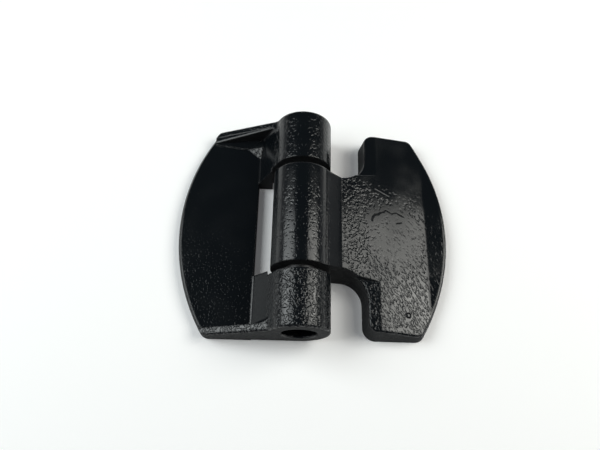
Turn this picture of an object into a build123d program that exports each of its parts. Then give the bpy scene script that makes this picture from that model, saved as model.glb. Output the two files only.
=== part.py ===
from build123d import *
import math
import os

os.makedirs("parts", exist_ok=True)

# Frame: X runs from the frame leaf to the door leaf, Y along the pin, Z up from the two back faces.
# Sizes are in millimetres and angles in degrees.

# Knuckles and pin
overall_len = 81.8
knuckle_d = 21.0
middle_len = 37.2
knuckle_gap = 2.5
pin_d = 12.0
pin_recess = 3.5
pin_chamfer = 0.8
running_clearance = 0.05
mouth_chamfer = 0.4
edge_round = 1.0

# Frame leaf
frame_reach = 44.8
frame_edge_r = 75.6
plate_t = 3.6
rim_bevel = 0.8
rib_w = 2.8
corner_clearance = 0.3
rib_lip = 0.4
rib_crest = 3.2
rib_root_r = 3.5
window_w = 5.9
window_overlap = 0.3
window_draft = 7.0
swing_clearance = 0.8
web_sink = 0.2
pocket_corner_r = 2.5
foot_r = 1.0

# Door leaf
door_reach = 54.4
door_edge_r = 73.5
door_draft = 9.0
flange_t = 3.8
strip_w = 8.5
wedge_crest = 2.6
wedge_root_r = 6.0
break_r = 4.0
neck_flare = 1.5
slot_w = 11.8
notch_r = 8.5
tab_setback = 0.7
tab_corner_r = 4.5
tab_outer_r = 3.5
ledge_w = 5.7
ledge_margin = 0.2
ledge_skew = 9.0

# Derived places
half_len = overall_len / 2
knuckle_r = knuckle_d / 2
axis_z = knuckle_r
middle_half = middle_len / 2
outer_start = middle_half + knuckle_gap
rib_start = half_len - rib_w
pin_r = pin_d / 2
pin_len = overall_len - 2 * pin_recess
bore_r = pin_r + running_clearance
high = 2 * knuckle_d
near = 0.01
swing_x = knuckle_r + swing_clearance
window_x = knuckle_r + window_w
window_half = middle_half - window_overlap
window_tan = math.tan(math.radians(window_draft))
frame_corner_x = frame_reach - frame_edge_r + math.sqrt(frame_edge_r**2 - half_len**2)
rib_edge_x = frame_reach - frame_edge_r + math.sqrt(frame_edge_r**2 - rib_start**2)
rib_corner = rib_w - rim_bevel - corner_clearance
frame_corner_r = rib_corner / (1 - half_len / frame_edge_r)
tab_half = half_len - tab_setback
door_corner_x = door_reach - door_edge_r + math.sqrt(door_edge_r**2 - tab_half**2)

# Rib top, a straight line from the plate's outer edge that runs into the knuckle above the axis
rib_tan = (axis_z + rib_crest - plate_t - rib_lip) / (rib_edge_x - knuckle_r)
rib_in_x = 0.7 * knuckle_r
rib_in_z = axis_z + rib_crest + rib_tan * (knuckle_r - rib_in_x)
rib_out_x = rib_in_x + rib_in_z / rib_tan

# Web face, from the plate's inner edge up to the side of the knuckle
web_r = knuckle_r - web_sink
foot_dz = axis_z - plate_t
touch_angle = math.acos(web_r / math.hypot(window_x, foot_dz)) - math.atan2(foot_dz, window_x)
touch_x = -web_r * math.cos(touch_angle)
touch_z = axis_z + web_r * math.sin(touch_angle)
swing_z = plate_t + (touch_z - plate_t) * (window_x - swing_x) / (window_x + touch_x)

# Wedge face of the door leaf and the ledge cut into it beside each notch
break_x = door_reach - strip_w
wedge_tan = (axis_z + wedge_crest - flange_t) / (break_x - knuckle_r)
wedge_in_x = 0.7 * knuckle_r
wedge_in_z = flange_t + wedge_tan * (break_x - wedge_in_x)
wedge_out_x = break_x + flange_t / wedge_tan
neck_half = middle_half + neck_flare
tab_x = knuckle_r + slot_w
ledge_x = tab_x + ledge_w
ledge_z = flange_t + wedge_tan * (break_x - ledge_x)
ledge_start = neck_half + ledge_margin
ledge_in_x = tab_x - notch_r
ledge_out_x = ledge_x + ledge_w
ledge_tan = math.tan(math.radians(ledge_skew))


# Edges whose middle lies at a given distance from the plane of symmetry
def beside(edges, distance):
    return edges.filter_by(lambda e: abs(abs(e.center().Y) - distance) < near)


# Points of an outline that lie on the end of either tab
def at_tips(points):
    return points.filter_by(lambda v: abs(abs(v.Y) - tab_half) < near)


# Outline of the frame leaf from the front: a curved outer edge with rounded corners
with BuildSketch(Plane.XY) as frame_outline:
    with BuildLine():
        Line((knuckle_d, -half_len), (-frame_corner_x, -half_len))
        ThreePointArc((-frame_corner_x, -half_len), (-frame_reach, 0), (-frame_corner_x, half_len))
        Line((-frame_corner_x, half_len), (knuckle_d, half_len))
        Line((knuckle_d, half_len), (knuckle_d, -half_len))
    make_face()
    fillet(frame_outline.vertices().sort_by(Axis.X)[:2], frame_corner_r)

# Plate of the frame leaf, with its curved outer edge bevelled
with BuildPart() as plate:
    with BuildSketch(Plane.XY):
        add(frame_outline.sketch)
        with Locations((-window_x, 0)):
            Rectangle(high, overall_len, align=(Align.MIN, Align.CENTER), mode=Mode.SUBTRACT)
    extrude(amount=plate_t)
    chamfer(plate.edges().group_by(Axis.Z)[-1].filter_by(GeomType.CIRCLE), rim_bevel)

# Frame leaf: two outer knuckles on webs, a sunk plate with a rib along each end, a window at the middle
with BuildPart() as frame_leaf:
    # Rib and rounded knuckle end, with a hollow curve where the rib top meets the knuckle
    with BuildSketch(Plane.XZ.offset(rib_start)) as rib_side:
        with BuildLine():
            Polyline((0, 0), (-rib_out_x, 0), (-rib_in_x, rib_in_z), (0, axis_z), close=True)
        make_face()
        with Locations((0, axis_z)):
            Circle(knuckle_r)
        fillet(rib_side.vertices().sort_by_distance((-knuckle_r, axis_z + rib_crest))[0], rib_root_r)
    extrude(amount=rib_w)
    ends = beside(frame_leaf.edges().filter_by(GeomType.CIRCLE), half_len)
    fillet(ends.filter_by(lambda e: abs(e.radius - knuckle_r) < near), edge_round)
    # Rest of the knuckle, on a web that slopes down to the plate
    with BuildSketch(Plane.XZ.offset(outer_start)):
        with BuildLine():
            Polyline(
                (0, 0),
                (-window_x, 0),
                (-window_x, plate_t),
                (touch_x, touch_z),
                (0, axis_z),
                close=True,
            )
        make_face()
        with Locations((0, axis_z)):
            Circle(knuckle_r)
    extrude(amount=rib_start - outer_start)
    # Foot of the web, running on towards the window
    with BuildSketch(Plane.XZ):
        with BuildLine():
            Polyline((-swing_x, 0), (-window_x, 0), (-window_x, plate_t), (-swing_x, swing_z), close=True)
        make_face()
    extrude(amount=outer_start)
    mirror(about=Plane.XZ)
    # Window, its ends leaning out towards the front
    with BuildSketch(Plane.YZ.offset(-window_x)):
        with BuildLine():
            Polyline(
                (-window_half, 0),
                (window_half, 0),
                (window_half + window_tan * high, high),
                (-window_half - window_tan * high, high),
                close=True,
            )
        make_face()
    extrude(amount=window_x - swing_x, mode=Mode.SUBTRACT)
    # Outer edge, cut to the outline
    with BuildSketch(Plane.XY):
        add(frame_outline.sketch)
    extrude(amount=high, mode=Mode.INTERSECT)
    # Plate between the ribs
    add(plate.part)
    # Hollow corners of the pocket, first between rib and web, then along the web's foot
    lines = beside(frame_leaf.edges().filter_by(GeomType.LINE), rib_start)
    fillet(lines.filter_by_position(Axis.X, -window_x + near, touch_x), pocket_corner_r)
    floor = frame_leaf.edges().filter_by_position(Axis.Z, plate_t - near, plate_t + near)
    feet = floor.filter_by(Axis.Y).filter_by(lambda e: abs(e.center().Y) > window_half)
    fillet(feet, foot_r)
    # Bore for the pin
    with BuildSketch(Plane.XZ):
        with Locations((0, axis_z)):
            Circle(pin_r)
    extrude(amount=overall_len, both=True, mode=Mode.SUBTRACT)
    mouths = beside(frame_leaf.edges().filter_by(GeomType.CIRCLE), half_len)
    chamfer(mouths.filter_by(lambda e: abs(e.radius - pin_r) < near), mouth_chamfer)

# Door leaf: the middle knuckle, a neck, a wedge-shaped plate and two tabs beside the notches
with BuildPart() as door_leaf:
    # Outline, all its walls leaning in towards the front
    with BuildSketch(Plane.XY) as door_plan:
        with BuildLine():
            Polyline(
                (door_corner_x, tab_half),
                (tab_x, tab_half),
                (tab_x, neck_half),
                (0, middle_half),
                (0, -middle_half),
                (tab_x, -neck_half),
                (tab_x, -tab_half),
                (door_corner_x, -tab_half),
            )
            ThreePointArc((door_corner_x, -tab_half), (door_reach, 0), (door_corner_x, tab_half))
        make_face()
        walls = door_plan.vertices().filter_by_position(Axis.X, tab_x - near, tab_x + near)
        fillet(walls.sort_by(Axis.Y)[1:3], notch_r)
        fillet(at_tips(door_plan.vertices()).sort_by(Axis.X)[:2], tab_corner_r)
        fillet(at_tips(door_plan.vertices()).sort_by(Axis.X)[-2:], tab_outer_r)
    extrude(amount=knuckle_d, taper=door_draft)
    # Side outline: flat outer strip, wedge face and a hollow curve up to the knuckle
    with BuildSketch(Plane.XZ.offset(-overall_len)) as door_side:
        with BuildLine():
            Polyline((0, 0), (wedge_out_x, 0), (wedge_in_x, wedge_in_z), (0, axis_z), close=True)
        make_face()
        with Locations((door_reach / 2, flange_t / 2)):
            Rectangle(door_reach, flange_t)
        with Locations((0, axis_z)):
            Circle(knuckle_r)
        fillet(door_side.vertices().sort_by_distance((knuckle_r, wedge_in_z))[0], wedge_root_r)
        fillet(door_side.vertices().sort_by_distance((break_x, flange_t))[0], break_r)
    extrude(amount=2 * overall_len, mode=Mode.INTERSECT)
    # Flat ledge along the inner side of each tab
    with BuildSketch(Plane.XY.offset(ledge_z)):
        with BuildLine():
            Polyline(
                (ledge_in_x, ledge_start - ledge_tan * (tab_x - ledge_in_x)),
                (ledge_out_x, ledge_start + ledge_tan * (ledge_out_x - tab_x)),
                (ledge_out_x, overall_len),
                (ledge_in_x, overall_len),
                close=True,
            )
        make_face()
        mirror(about=Plane.XZ)
    extrude(amount=high, mode=Mode.SUBTRACT)
    # Rounded front edges of the outer strip and the tabs
    flats = door_leaf.faces().filter_by(GeomType.PLANE)
    fronts = flats.filter_by(lambda f: f.normal_at().Z > 0.9).edges()
    across = fronts.filter_by(Axis.Y)
    walls = across.filter_by_position(Axis.X, tab_x, ledge_x - near)
    rims = fronts.filter_by_position(Axis.X, ledge_x + near, door_reach) - across
    fillet(rims + walls, edge_round)
    # Middle knuckle and its running bore
    with BuildSketch(Plane.XZ):
        with Locations((0, axis_z)):
            Circle(knuckle_r)
    extrude(amount=middle_half, both=True)
    with BuildSketch(Plane.XZ):
        with Locations((0, axis_z)):
            Circle(bore_r)
    extrude(amount=overall_len, both=True, mode=Mode.SUBTRACT)

# Pin, driven into the outer knuckles and set back from both ends
with BuildPart() as hinge_pin:
    with BuildSketch(Plane.XZ):
        with Locations((0, axis_z)):
            Circle(pin_r)
    extrude(amount=pin_len / 2, both=True)
    chamfer(hinge_pin.edges().filter_by(GeomType.CIRCLE), pin_chamfer)

frame_leaf.part.label = "frame_leaf"
door_leaf.part.label = "door_leaf"
hinge_pin.part.label = "hinge_pin"
export_step(frame_leaf.part, "parts/frame_leaf.step")
export_step(door_leaf.part, "parts/door_leaf.step")
export_step(hinge_pin.part, "parts/hinge_pin.step")
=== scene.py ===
import bmesh
import bpy
import math
from mathutils import Matrix, Vector


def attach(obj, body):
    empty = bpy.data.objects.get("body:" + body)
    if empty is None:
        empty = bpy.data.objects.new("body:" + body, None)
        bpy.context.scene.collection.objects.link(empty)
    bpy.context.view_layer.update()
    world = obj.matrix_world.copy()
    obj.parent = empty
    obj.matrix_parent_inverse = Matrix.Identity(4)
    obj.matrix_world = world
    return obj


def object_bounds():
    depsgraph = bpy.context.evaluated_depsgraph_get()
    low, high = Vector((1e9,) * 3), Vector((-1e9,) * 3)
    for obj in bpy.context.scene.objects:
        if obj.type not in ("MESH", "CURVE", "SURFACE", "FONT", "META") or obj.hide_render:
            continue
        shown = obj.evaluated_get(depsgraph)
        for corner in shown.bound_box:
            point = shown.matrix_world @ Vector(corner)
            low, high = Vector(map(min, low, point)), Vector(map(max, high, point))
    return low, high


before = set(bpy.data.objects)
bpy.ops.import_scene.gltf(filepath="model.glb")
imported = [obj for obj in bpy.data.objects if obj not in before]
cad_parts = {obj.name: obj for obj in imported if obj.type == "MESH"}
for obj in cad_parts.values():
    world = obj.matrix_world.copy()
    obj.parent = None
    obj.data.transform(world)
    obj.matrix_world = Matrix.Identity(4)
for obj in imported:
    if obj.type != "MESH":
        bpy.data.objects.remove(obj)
cad_low, cad_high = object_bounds()

# Sizes are in metres and angles in degrees, in the frame of the part.

# Pin's axis above the back faces, and the knuckles about it
axis_height = 0.0105
knuckle_radius = 0.0105

# Camera, from the photograph's perspective
photo_width_px = 600
focal_px = 556.4
camera_at = Vector((-0.00408, -0.08445, 0.19163))
camera_tilt = 24.631
camera_yaw = -1.128
camera_roll = 1.391
clip_start = 0.01

# Studio: a large soft box with a brighter core on each side of the camera, over a pale floor
box_distance = 0.60
box_length = 0.44
box_y = 0.065
box_radiance = 4.3
core_angle = 49.0
core_width = 0.147
core_length = 0.15
core_y = 0.105
right_core_radiance = 5.0
left_core_radiance = 2.5
right_box_angle = 44.0
right_box_width = 0.40
right_box_colour = (1.0, 0.995, 0.94)
left_box_angle = -47.0
left_box_width = 0.46
left_box_colour = (0.95, 1.0, 1.0)
room_colour = (0.037, 0.042, 0.050)
floor_colour = (0.95, 0.95, 0.95)
floor_lift = 0.08
far_lift = 0.25
floor_fade = (0.25, 0.70)
floor_gap = 0.0002
floor_radius = 3.0
floor_segments = 96
backdrop_height = 0.75

# Flank between the middle knuckle and the wedge face: a hollow from the knuckle's side to a crease
flank_angle = 54.0
flank_top_half = 0.0185
flank_foot = (0.0145, 0.01765, 0.01203)
flank_sag = 0.0002
flank_sink = 0.004
flank_steps = 8

# Inner wall of the upper rib, from its outer to its inner end, with its tops as Y and Z
wall_ends = (-0.0344, -0.0105)
wall_tops = ((0.0360, 0.00395), (0.0378, 0.01368))
wall_lean = 0.0002
wall_back = 0.0386
edge_width = 0.0006
edge_drop = 0.00016

# Toe along that wall's foot, with its rises above the plate at each end, and the gusset in the corner
foot_line = ((-0.0340, 0.0353), (-0.0165, 0.0330))
foot_rises = ((0.0002, 0.0002), (0.0004, 0.0018))
foot_width = 0.0008
facet = ((-0.0213, 0.0336, 0.0036), (-0.0162, 0.0288, 0.0037), (-0.0152, 0.0336, 0.0056))
floor_top = 0.0036
form_sink = 0.001

# Paint
paint_colour = (0.0036, 0.0049, 0.0061)
paint_ior = 1.42
paint_roughness = (0.10, 0.20)
wall_roughness = 0.8
wall_rise = (0.15, 0.40)
peel_size = 0.00105
fine_size = 0.0007
peel_depth = 0.00012
pit_range = (0.32, 0.56)
pit_thinning = 0.12
wave_size = 0.011
wave_range = (0.3, 0.7)
wave_depth = 0.00006
noise_detail = 1.0
noise_roughness = 0.45
noise_mean = 0.5
edge_radius = 0.0008
edge_samples = 6

# Share of the orange peel that each region of the frame leaf keeps
knuckle_reach = (0.0107, 0.0117)
bore_reach = (0.0065, 0.0075)
bore_share = 0.1
rib_reach = (0.0370, 0.0382)
raised_share = 1.2
frame_flat_share = 0.30
end_reach = (-0.022, 0.010)
upper_share = 0.40
web_reach = (-0.0172, -0.0162)
web_share = 0.12
ledge_reach = (0.0334, 0.0339)
facet_share = 1.8
seam_reach = (0.0004, 0.0008)
seam_share = 2.0

# Share of the orange peel that each region of the door leaf keeps
middle_share = 0.5
middle_low_reach = (-0.016, -0.006)
middle_low_share = 0.75
middle_high_reach = (0.007, 0.013)
middle_high_share = 0.4
tab_reach = (0.014, 0.021)
tab_skew = 0.3
tab_skew_from = 0.020
tab_share = 0.06
strip_reach = (0.0450, 0.0462)
strip_share = 0.25
patch_at = (0.0345, -0.002, 0.0)
patch_size = (0.0115, 0.0125, 1.0)
patch_reach = (0.7, 1.2)
patch_share = 0.35
root_reach = (0.0142, 0.0148)
root_share = 0.1
back_reach = (0.0005, 0.0015)
back_share = 0.5

# Streaks in the paint of the wedge face, towards its outer lower corner
streak_angle = -57.0
streak_stretch = 2.6
streak_skew = 0.5
streak_reach = (0.025, 0.035)

# Marks on the wedge face, as lines in plan, with their widths and depths
thick_line = ((0.0257, 0.0021), (0.0260, 0.0033), (0.0270, 0.0046), (0.0280, 0.0047), (0.0290, 0.0056))
thin_line = ((0.0290, 0.0056), (0.0302, 0.0060), (0.0311, 0.0068), (0.0334, 0.0058),
             (0.0350, 0.0065), (0.0364, 0.0059), (0.0380, 0.0052))
short_line = ((0.0352, 0.0022), (0.0370, 0.0027))
scratch_line = ((0.0274, 0.0151), (0.0326, 0.0128))
crater_at = (0.0376, -0.0322)
crater_radius = 0.0008
mark_width = 0.00032
thick_extra = 0.00016
scratch_width = 0.00032
wobble_size = 0.0007
wobble_reach = 0.0005
dent_depth = 0.0006
scratch_depth = 0.000035
mark_roughness = 0.9
calm_reach = (0.0007, 0.0030)
calm_share = 0.12

# Steel of the pin
steel_colour = (0.16, 0.16, 0.165)
steel_roughness = (0.28, 0.45)
grain_size = 0.0004
grain_detail = 3.0
grain_roughness = 0.5


# One node of a shader tree, with its inputs set or linked
def add_node(tree, kind, inputs=None, **settings):
    node = tree.nodes.new(kind)
    for name, value in settings.items():
        setattr(node, name, value)
    for name, value in (inputs or {}).items():
        if isinstance(value, bpy.types.NodeSocket):
            tree.links.new(value, node.inputs[name])
        else:
            node.inputs[name].default_value = value
    return node


# A sum on one or two numbers
def reckon(tree, operation, first, second=0.0):
    return add_node(tree, "ShaderNodeMath", {0: first, 1: second}, operation=operation).outputs[0]


# Several numbers multiplied together
def product(tree, first, *others):
    for other in others:
        first = reckon(tree, "MULTIPLY", first, other)
    return first


# A sum on vectors, with the output that it gives
def reckon_vector(tree, operation, first, second=(0, 0, 0), output="Vector"):
    node = add_node(tree, "ShaderNodeVectorMath", {0: first, 1: second}, operation=operation)
    return node.outputs[output]


# A vector times a number
def scale_vector(tree, vector, factor):
    node = add_node(tree, "ShaderNodeVectorMath", {0: vector, "Scale": factor}, operation="SCALE")
    return node.outputs["Vector"]


# The coordinates of a vector, by name
def split(tree, vector):
    return add_node(tree, "ShaderNodeSeparateXYZ", {0: vector}).outputs


# A number moved from one range to another, smoothly unless said otherwise
def ease(tree, value, start, end, low, high, interpolation="SMOOTHSTEP"):
    node = add_node(tree, "ShaderNodeMapRange",
                    {"Value": value, "From Min": start, "From Max": end, "To Min": low, "To Max": high},
                    interpolation_type=interpolation)
    return node.outputs["Result"]


# A number between two others, as a share says
def blend(tree, share, low, high):
    return add_node(tree, "ShaderNodeMix", {"Factor": share, "A": low, "B": high}).outputs["Result"]


# Noise with features of about the given size
def noise(tree, place, size, detail=noise_detail, roughness=noise_roughness):
    node = add_node(tree, "ShaderNodeTexNoise",
                    {"Vector": place, "Scale": 1 / size, "Detail": detail, "Roughness": roughness})
    return node.outputs["Fac"]


# A bump on top of the normal that is given
def raise_bump(tree, height, depth, normal):
    node = add_node(tree, "ShaderNodeBump",
                    {"Height": height, "Distance": depth, "Strength": 1.0, "Normal": normal})
    return node.outputs["Normal"]


# A material with an empty node tree
def empty_material(name):
    material = bpy.data.materials.new(name)
    material.use_nodes = True
    material.node_tree.nodes.clear()
    return material, material.node_tree


# A material with its shader and its object coordinates
def start_material(name):
    material, tree = empty_material(name)
    shader = add_node(tree, "ShaderNodeBsdfPrincipled")
    add_node(tree, "ShaderNodeOutputMaterial", {"Surface": shader.outputs["BSDF"]})
    place = add_node(tree, "ShaderNodeTexCoord").outputs["Object"]
    return material, tree, shader, place


# A place seen in plan
def in_plan(tree, place):
    return reckon_vector(tree, "MULTIPLY", place, (1, 1, 0))


# Distance from the pin's axis
def from_axis(tree, place):
    across = reckon_vector(tree, "MULTIPLY", place, (1, 0, 1))
    return reckon_vector(tree, "DISTANCE", across, (0, 0, axis_height), "Value")


# One on a knuckle and inside it, and none away from it
def on_knuckle(tree, place):
    return ease(tree, from_axis(tree, place), *knuckle_reach, 1.0, 0.0)


# None on the back face and one everywhere in front of it
def in_front(tree, place):
    return ease(tree, split(tree, place)["Z"], *back_reach, 0.0, 1.0)


# Distance in plan from a line of straight runs
def line_distance(tree, flat_place, points):
    nearest = None
    for start, end in zip(points, points[1:]):
        run = Vector((*end, 0)) - Vector((*start, 0))
        offset = reckon_vector(tree, "SUBTRACT", flat_place, (*start, 0))
        along = reckon_vector(tree, "DOT_PRODUCT", offset, run / run.length_squared, "Value")
        along = add_node(tree, "ShaderNodeClamp", {"Value": along}).outputs["Result"]
        gap = reckon_vector(tree, "DISTANCE", offset, scale_vector(tree, run, along), "Value")
        nearest = gap if nearest is None else reckon(tree, "MINIMUM", nearest, gap)
    return nearest


# Orange peel of the frame leaf: strong on the knuckles and ribs and along the toe of the rib wall,
# weaker and finer on the plate and the webs, weaker towards the upper end, and faint in the bores
def frame_peel(tree, place):
    spot = split(tree, place)
    on_rib = ease(tree, reckon(tree, "ABSOLUTE", spot["Y"]), *rib_reach, 0.0, 1.0)
    raised = reckon(tree, "MAXIMUM", on_rib, on_knuckle(tree, place))
    flat_share = ease(tree, spot["X"], *web_reach, frame_flat_share, web_share)
    share = product(tree, blend(tree, raised, flat_share, raised_share),
                    ease(tree, spot["Y"], *end_reach, 1.0, upper_share),
                    ease(tree, from_axis(tree, place), *bore_reach, bore_share, 1.0))
    from_seam = line_distance(tree, in_plan(tree, place), foot_line)
    seam = product(tree, ease(tree, from_seam, *seam_reach, seam_share, 0.0), in_front(tree, place))
    peel = blend(tree, raised, noise(tree, place, fine_size), noise(tree, place, peel_size))
    return peel, reckon(tree, "MAXIMUM", share, seam)


# Orange peel of the gusset: strong on its facet and weak on the ledge behind
def corner_peel(tree, place):
    share = ease(tree, split(tree, place)["Y"], *ledge_reach, facet_share, web_share)
    return noise(tree, place, peel_size), share


# Orange peel of the door leaf: streaked outwards on the wedge face, weak on the upper tab, the patch,
# the outer strip, the knuckle's root and the back, and fading along the knuckle towards both ends
def door_peel(tree, place):
    spot = split(tree, place)
    turned = add_node(tree, "ShaderNodeMapping",
                      {"Vector": place, "Rotation": (0, 0, math.radians(streak_angle)),
                       "Scale": (streak_stretch, 1, 1)}, vector_type="TEXTURE").outputs["Vector"]
    outward = reckon(tree, "SUBTRACT", spot["X"], reckon(tree, "MULTIPLY", spot["Y"], streak_skew))
    streaked = ease(tree, outward, *streak_reach, 0.0, 1.0)
    peel = blend(tree, streaked, noise(tree, place, peel_size), noise(tree, turned, fine_size))
    skew = reckon(tree, "MULTIPLY", reckon(tree, "SUBTRACT", spot["X"], tab_skew_from), tab_skew)
    offset = reckon_vector(tree, "SUBTRACT", in_plan(tree, place), patch_at)
    offset = reckon_vector(tree, "DIVIDE", offset, patch_size)
    from_patch = reckon_vector(tree, "LENGTH", offset, output="Value")
    share = product(tree, ease(tree, reckon(tree, "ADD", spot["Y"], skew), *tab_reach, 1.0, tab_share),
                    ease(tree, from_patch, *patch_reach, patch_share, 1.0),
                    ease(tree, spot["X"], *strip_reach, 1.0, strip_share),
                    ease(tree, spot["X"], *root_reach, root_share, 1.0))
    share = blend(tree, in_front(tree, place), back_share, share)
    low_share = middle_low_share * middle_share
    middle = product(tree, ease(tree, spot["Y"], *middle_low_reach, low_share, middle_share),
                     ease(tree, spot["Y"], *middle_high_reach, 1.0, middle_high_share))
    return peel, blend(tree, on_knuckle(tree, place), share, middle)


# Height of the marks on the wedge face, where they are matt, and the share of the peel left near them
def marks(tree, place):
    flat_place = in_plan(tree, place)
    scratch = line_distance(tree, flat_place, scratch_line)
    uneven = reckon(tree, "SUBTRACT", noise(tree, flat_place, wobble_size), noise_mean)
    wobble = scale_vector(tree, (0, wobble_reach, 0), uneven)
    flat_place = reckon_vector(tree, "ADD", flat_place, wobble)
    thick = reckon(tree, "SUBTRACT", line_distance(tree, flat_place, thick_line), thick_extra)
    thin, short = (line_distance(tree, flat_place, line) for line in (thin_line, short_line))
    from_crater = reckon_vector(tree, "DISTANCE", flat_place, (*crater_at, 0), "Value")
    ring = reckon(tree, "ABSOLUTE", reckon(tree, "SUBTRACT", from_crater, crater_radius))
    lines = reckon(tree, "MINIMUM", reckon(tree, "MINIMUM", thick, thin), short)
    dent = reckon(tree, "MINIMUM", lines, ring)
    front = in_front(tree, place)
    height = reckon(tree, "ADD", ease(tree, dent, 0.0, mark_width, -dent_depth, 0.0, "LINEAR"),
                    ease(tree, scratch, 0.0, scratch_width, -scratch_depth, 0.0, "LINEAR"))
    height = reckon(tree, "MULTIPLY", height, front)
    matt = reckon(tree, "MULTIPLY", ease(tree, dent, 0.0, mark_width, 1.0, 0.0), front)
    calm = ease(tree, reckon(tree, "MINIMUM", lines, scratch), *calm_reach, calm_share, 1.0)
    return height, matt, calm


# Black gloss paint with pitted orange peel over a wavy cast surface, duller on upright walls
def paint_material(name, peel_of, marked=False):
    material, tree, shader, place = start_material(name)
    peel, share = peel_of(tree, place)
    if marked:
        height, matt, calm = marks(tree, place)
        share = reckon(tree, "MULTIPLY", share, calm)
    thinned = reckon(tree, "MULTIPLY", reckon(tree, "SUBTRACT", 1.0, share), pit_thinning)
    pits = ease(tree, reckon(tree, "ADD", peel, thinned), *pit_range, -1.0, 0.0)
    wave = noise(tree, place, wave_size)
    rounded = add_node(tree, "ShaderNodeBevel", {"Radius": edge_radius}, samples=edge_samples)
    normal = raise_bump(tree, wave, wave_depth, rounded.outputs["Normal"])
    normal = raise_bump(tree, reckon(tree, "MULTIPLY", pits, share), peel_depth, normal)
    facing = add_node(tree, "ShaderNodeNewGeometry").outputs["True Normal"]
    rise = reckon(tree, "ABSOLUTE", split(tree, facing)["Z"])
    rough = ease(tree, wave, *wave_range, *paint_roughness)
    rough = blend(tree, ease(tree, rise, *wall_rise, 0.0, 1.0), wall_roughness, rough)
    if marked:
        normal = raise_bump(tree, height, 1.0, normal)
        rough = blend(tree, matt, rough, mark_roughness)
    shader.inputs["Base Color"].default_value = (*paint_colour, 1)
    shader.inputs["IOR"].default_value = paint_ior
    tree.links.new(rough, shader.inputs["Roughness"])
    tree.links.new(normal, shader.inputs["Normal"])
    return material


# Plain steel with a fine grain in its gloss
def pin_material(name):
    material, tree, shader, place = start_material(name)
    grain = noise(tree, place, grain_size, grain_detail, grain_roughness)
    rough = ease(tree, grain, 0.0, 1.0, *steel_roughness, "LINEAR")
    shader.inputs["Base Color"].default_value = (*steel_colour, 1)
    shader.inputs["Metallic"].default_value = 1.0
    tree.links.new(rough, shader.inputs["Roughness"])
    return material


# Pale floor that keeps a soft shadow near the part and reads as white further out
def floor_material():
    material, tree = empty_material("floor")
    path = add_node(tree, "ShaderNodeLightPath").outputs
    seen = reckon(tree, "MAXIMUM", path["Is Camera Ray"], path["Is Glossy Ray"])
    seen = reckon(tree, "MAXIMUM", seen, path["Is Transmission Ray"])
    place = add_node(tree, "ShaderNodeTexCoord").outputs["Object"]
    reach = reckon_vector(tree, "LENGTH", place, output="Value")
    lift = ease(tree, reach, *floor_fade, floor_lift, far_lift)
    matt = add_node(tree, "ShaderNodeBsdfDiffuse", {"Color": (*floor_colour, 1)})
    glow = add_node(tree, "ShaderNodeEmission", {"Strength": reckon(tree, "MULTIPLY", seen, lift)})
    both = add_node(tree, "ShaderNodeAddShader", {0: matt.outputs[0], 1: glow.outputs[0]})
    add_node(tree, "ShaderNodeOutputMaterial", {"Surface": both.outputs[0]})
    return material


# An object made from a mesh, in one material
def add_object(name, mesh, material):
    data = bpy.data.meshes.new(name)
    mesh.to_mesh(data)
    mesh.free()
    data.materials.append(material)
    made = bpy.data.objects.new(name, data)
    bpy.context.scene.collection.objects.link(made)
    return made


# Round floor with a low backdrop round its rim
def add_floor():
    mesh = bmesh.new()
    bmesh.ops.create_circle(mesh, cap_ends=True, segments=floor_segments, radius=floor_radius)
    rim = bmesh.ops.extrude_edge_only(mesh, edges=mesh.edges[:])["geom"]
    lifted = [part for part in rim if isinstance(part, bmesh.types.BMVert)]
    bmesh.ops.translate(mesh, verts=lifted, vec=(0, 0, backdrop_height))
    floor = add_object("floor", mesh, floor_material())
    floor.location.z = cad_low[2] - floor_gap


# A rectangular soft box that faces the pin from the given angle off the vertical
def add_soft_box(name, angle, width, length, along, radiance, colour):
    light = bpy.data.lights.new(name, "AREA")
    light.shape = "RECTANGLE"
    light.size = width
    light.size_y = length
    light.color = colour
    light.energy = radiance * math.pi * width * length
    lamp = bpy.data.objects.new(name, light)
    turn = Matrix.Rotation(math.radians(angle), 4, "Y")
    away = Matrix.Translation((0, 0, box_distance))
    lamp.matrix_world = Matrix.Translation((0, along, 0)) @ turn @ away
    bpy.context.scene.collection.objects.link(lamp)


# Dim light from the room all round
def add_room():
    world = bpy.data.worlds.new("room")
    world.use_nodes = True
    world.node_tree.nodes["Background"].inputs["Color"].default_value = (*room_colour, 1)
    bpy.context.scene.world = world


# Camera at the photograph's place
def add_camera():
    camera = bpy.data.cameras.new("camera")
    camera.lens = focal_px / photo_width_px * camera.sensor_width
    camera.clip_start = clip_start
    eye = bpy.data.objects.new("camera", camera)
    turn = Matrix.Rotation(math.radians(camera_yaw), 4, "Y")
    tilt = Matrix.Rotation(math.radians(camera_tilt), 4, "X")
    roll = Matrix.Rotation(math.radians(camera_roll), 4, "Z")
    eye.matrix_world = Matrix.Translation(camera_at) @ turn @ tilt @ roll
    bpy.context.scene.collection.objects.link(eye)
    bpy.context.scene.camera = eye


# A closed mesh through rows of points, each row joined to the next and the last to the first
def close_rows(rows):
    mesh = bmesh.new()
    rows = [[mesh.verts.new(point) for point in row] for row in rows]
    for row, after in zip(rows, rows[1:] + rows[:1]):
        for near in range(len(row) - 1):
            mesh.faces.new((row[near], row[near + 1], after[near + 1], after[near]))
    mesh.faces.new([row[0] for row in rows])
    mesh.faces.new([row[-1] for row in reversed(rows)])
    return mesh


# A painted form that a body carries
def add_form(name, mesh, body, material):
    bmesh.ops.recalc_face_normals(mesh, faces=mesh.faces)
    form = add_object(name, mesh, material)
    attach(form, body)


# A point part of the way between two others
def between(start, end, share):
    return tuple(low + (high - low) * share for low, high in zip(start, end))


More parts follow.
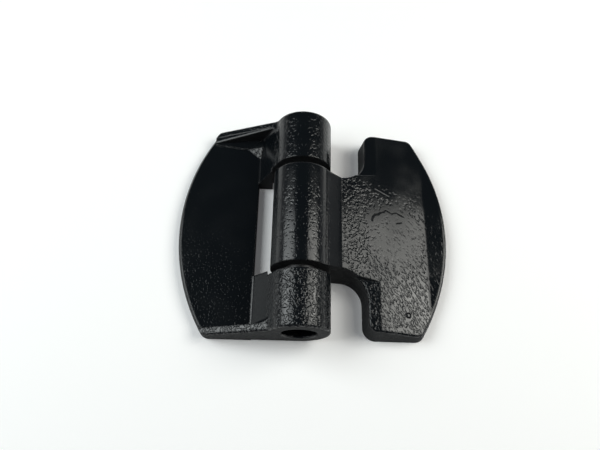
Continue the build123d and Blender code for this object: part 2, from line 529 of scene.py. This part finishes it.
# Hollow flank from the side of the middle knuckle down to the wedge face, which sags most half way
def add_root_flank(material):
    angle = math.radians(flank_angle)
    top = (knuckle_radius * math.sin(angle), flank_top_half, axis_height + knuckle_radius * math.cos(angle))
    line = []
    for step in range(flank_steps + 1):
        share = step / flank_steps
        x, half, z = between(top, flank_foot, share)
        line.append((x, half, z - 4 * flank_sag * share * (1 - share)))
    line += [(x, half, z - flank_sink) for x, half, z in (line[-1], line[0])]
    mesh = close_rows([((x, -half, z), (x, half, z)) for x, half, z in line])
    add_form("root_flank", mesh, "door", material)


# Inner wall of the upper rib, with a narrow bevel along its top
def add_rib_wall(material):
    sunk_z = floor_top - form_sink
    ends = []
    for x, (top_y, top_z) in zip(wall_ends, wall_tops):
        ends.append(((x, wall_back, top_z), (x, top_y + edge_width, top_z), (x, top_y, top_z - edge_drop),
                     (x, top_y - wall_lean, sunk_z), (x, wall_back, sunk_z)))
    add_form("rib_wall", close_rows(list(zip(*ends))), "frame", material)


# Toe of the rib wall: a low lip along its foot, then a slope up to the wall
def add_rib_foot(material):
    sunk_z = floor_top - form_sink
    ends = []
    for (x, front_y), (rise, back_rise) in zip(foot_line, foot_rises):
        along = (x - wall_ends[0]) / (wall_ends[1] - wall_ends[0])
        back_y = between(*wall_tops, along)[0] + wall_lean
        ends.append(((x, back_y, floor_top + back_rise), (x, front_y + foot_width, floor_top + rise),
                     (x, front_y, floor_top), (x, front_y, sunk_z), (x, back_y, sunk_z)))
    add_form("rib_foot", close_rows(list(zip(*ends))), "frame", material)


# Gusset in the inner corner of the pocket, with a sloped facet towards the plate
def add_pocket_corner(material):
    plate_end, web_foot, crest = facet
    upper = [plate_end, web_foot, crest] + [(x, wall_back, z) for x, y, z in (crest, plate_end)]
    lower = [(x, y, floor_top - form_sink) for x, y, z in upper]
    mesh = bmesh.new()
    bmesh.ops.convex_hull(mesh, input=[mesh.verts.new(corner) for corner in upper + lower])
    add_form("pocket_corner", mesh, "frame", material)


# A solid of the frame in a material of its own
def dress(node, material):
    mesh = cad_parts[node].data
    mesh.materials.clear()
    mesh.materials.append(material)


door_paint = paint_material("door_paint", door_peel, marked=True)
frame_paint = paint_material("frame_paint", frame_peel)
dress("frame_leaf", frame_paint)
dress("door_leaf", door_paint)
dress("hinge_pin", pin_material("pin_steel"))
add_root_flank(door_paint)
add_rib_wall(frame_paint)
add_rib_foot(frame_paint)
add_pocket_corner(paint_material("corner_paint", corner_peel))
add_floor()
add_soft_box("right_box", right_box_angle, right_box_width, box_length, box_y,
             box_radiance, right_box_colour)
add_soft_box("left_box", left_box_angle, left_box_width, box_length, box_y,
             box_radiance, left_box_colour)
add_soft_box("right_core", core_angle, core_width, core_length, core_y,
             right_core_radiance, right_box_colour)
add_soft_box("left_core", -core_angle, core_width, core_length, core_y,
             left_core_radiance, left_box_colour)
add_room()
add_camera()
bpy.context.scene.view_settings.view_transform = "Standard"
